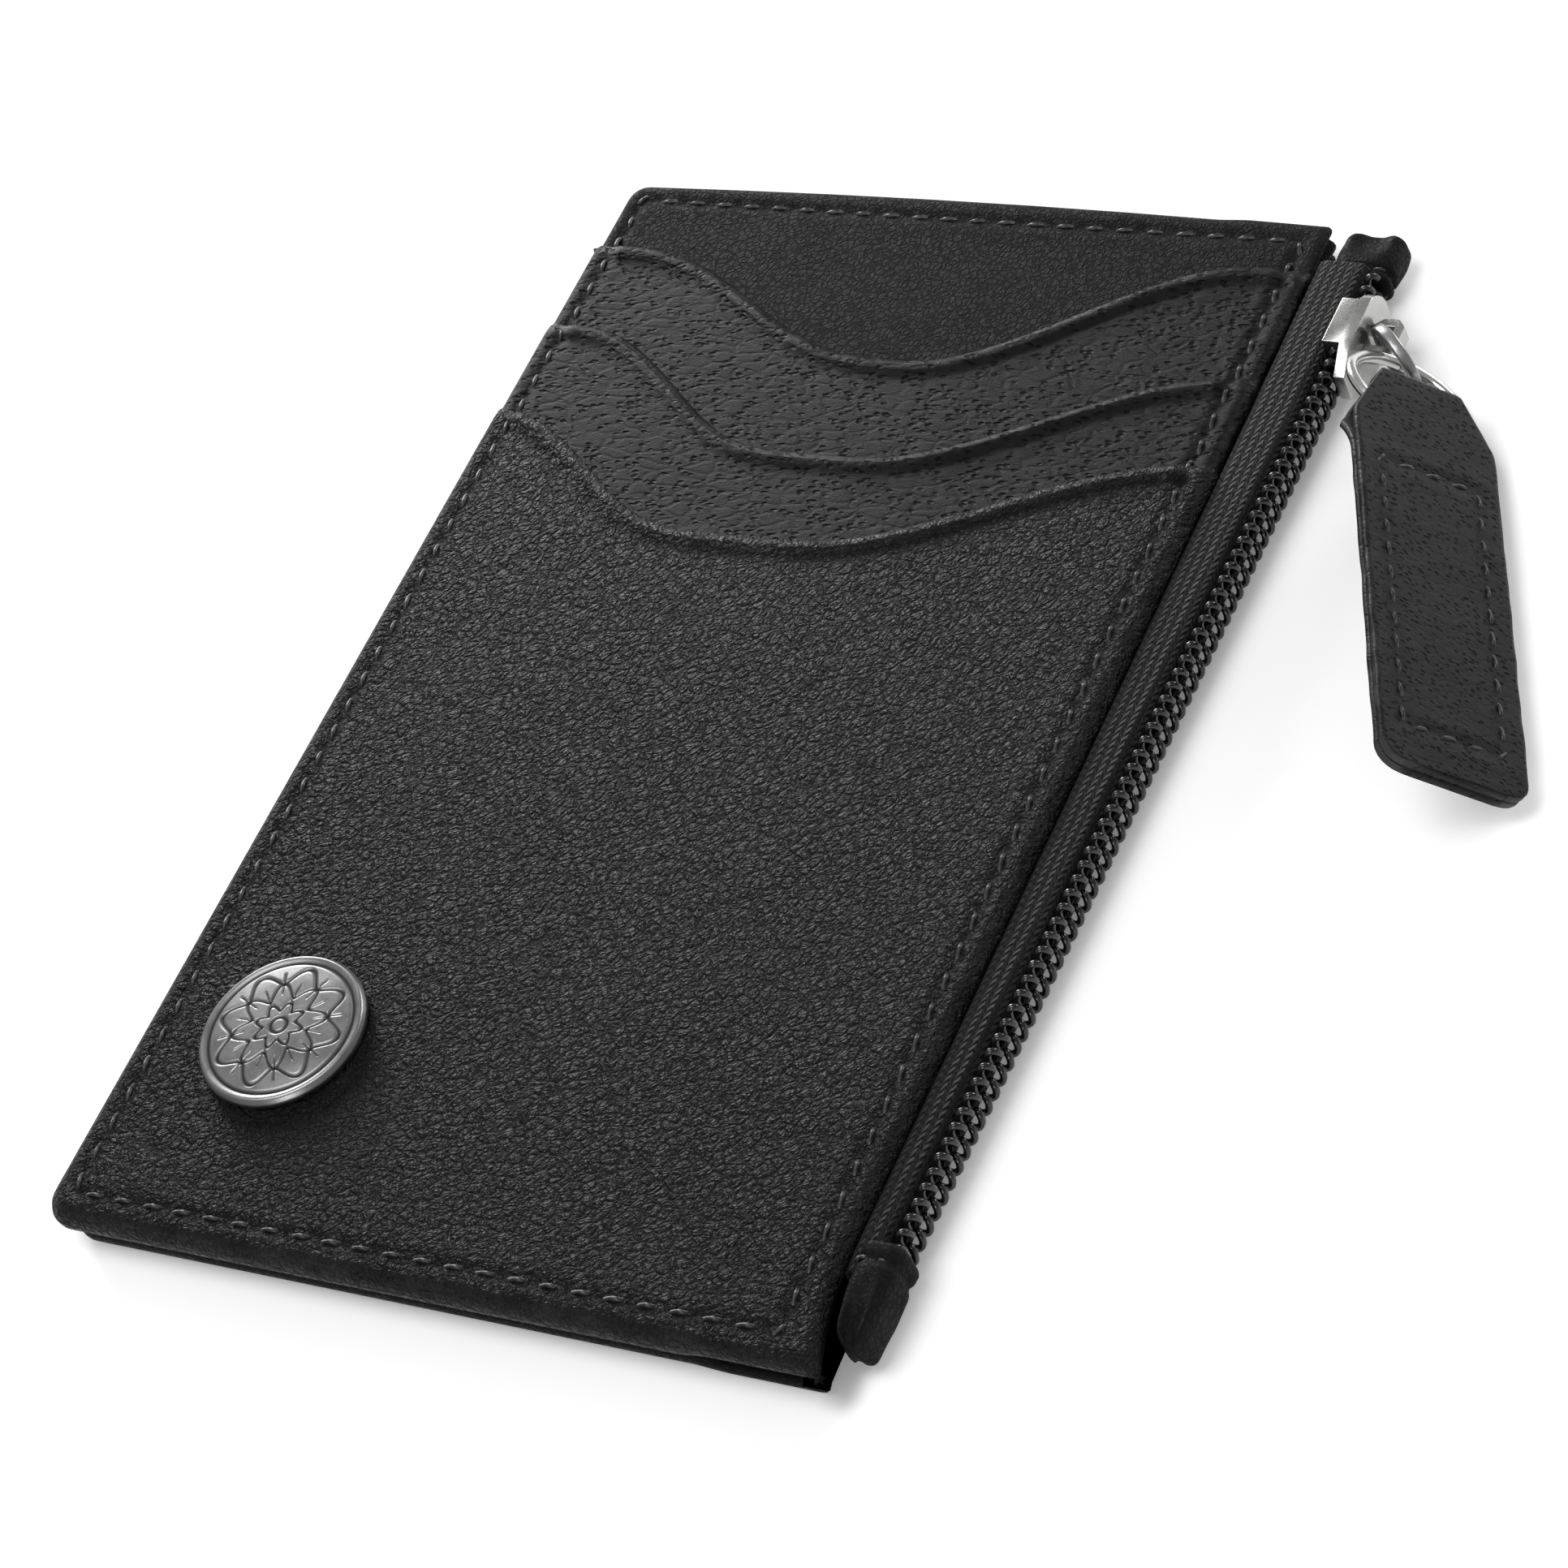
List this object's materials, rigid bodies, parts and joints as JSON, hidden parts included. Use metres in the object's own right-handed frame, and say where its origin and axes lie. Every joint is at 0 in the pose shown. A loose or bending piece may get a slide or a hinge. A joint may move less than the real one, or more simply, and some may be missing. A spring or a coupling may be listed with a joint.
{
  "type": "coin purse",
  "caption": "Flat black leather coin purse with a zipped coin pocket, stacked card pockets with wavy mouths and a leather pull tab on a wire ring.",
  "frame": {"origin": "middle of the back panel's outer face", "axes": "+Z out of the card side, +Y towards the card pocket mouths, +X towards the zip"},
  "size_m": [0.1101, 0.1207, 0.0119],
  "materials": {
    "black_leather": "fine pebble grain, satin",
    "pocket_leather": "open porous grain, semi-matte",
    "smooth_leather": "smooth, matte",
    "trim_leather": "brushed porous grain, matte",
    "lining": "close plain weave",
    "board": "pressed bonded fibre sheet",
    "thread": "twisted bonded thread",
    "zip_tape": "herringbone woven tape",
    "zip_coil": "glossy nylon monofilament",
    "slider_metal": "satin dark nickel plating",
    "ring_metal": "polished nickel wire",
    "badge_metal": "satin gunmetal with dark recesses"
  },
  "bodies": {
    "purse": {"rear_leather": "black_leather", "rear_board": "board", "rear_lining": "lining", "front_lining": "lining", "front_board": "board", "front_base": "smooth_leather", "upper_pocket": "pocket_leather", "middle_pocket": "pocket_leather", "front_pocket": "black_leather", "badge_disc": "badge_metal", "badge_washer": "badge_metal", "front_zip_tape": "zip_tape", "rear_zip_tape": "zip_tape", "front_zip_coil": "zip_coil", "rear_zip_coil": "zip_coil", "top_end_cap": "trim_leather", "bottom_end_cap": "trim_leather", "top_gusset": "lining", "bottom_gusset": "lining", "front_stitching": "thread", "rear_stitching": "thread", "end_cap_stitching": "thread"},
    "slider": {"slider_body": "slider_metal", "slider_crown": "slider_metal"},
    "puller": {"zip_puller": "slider_metal"},
    "ring": {"pull_ring": "ring_metal"},
    "tab": {"tab_leather": "trim_leather", "tab_stitching": "thread"}
  },
  "joints": [
    {"name": "zip_slide", "type": "slide", "parent": "purse", "child": "slider", "axis": [-0.026, -0.9997, 0], "range_m": [0, 0.089]},
    {"name": "puller_swing", "type": "hinge", "parent": "slider", "child": "puller", "pos_m": [0.04533, 0.04744, 0.00315], "axis": [0, 0, 1], "range_deg": [-20, 90]},
    {"name": "ring_swing", "type": "hinge", "parent": "puller", "child": "ring", "pos_m": [0.04959, 0.04368, 0.00315], "axis": [0, 0, 1], "range_deg": [-12, 25]},
    {"name": "tab_turn", "type": "hinge", "parent": "ring", "child": "tab", "pos_m": [0.0507, 0.04047, 0.0046], "axis": [0.5298, 0.5192, 0.6706], "range_deg": [-30, 30]}
  ]
}
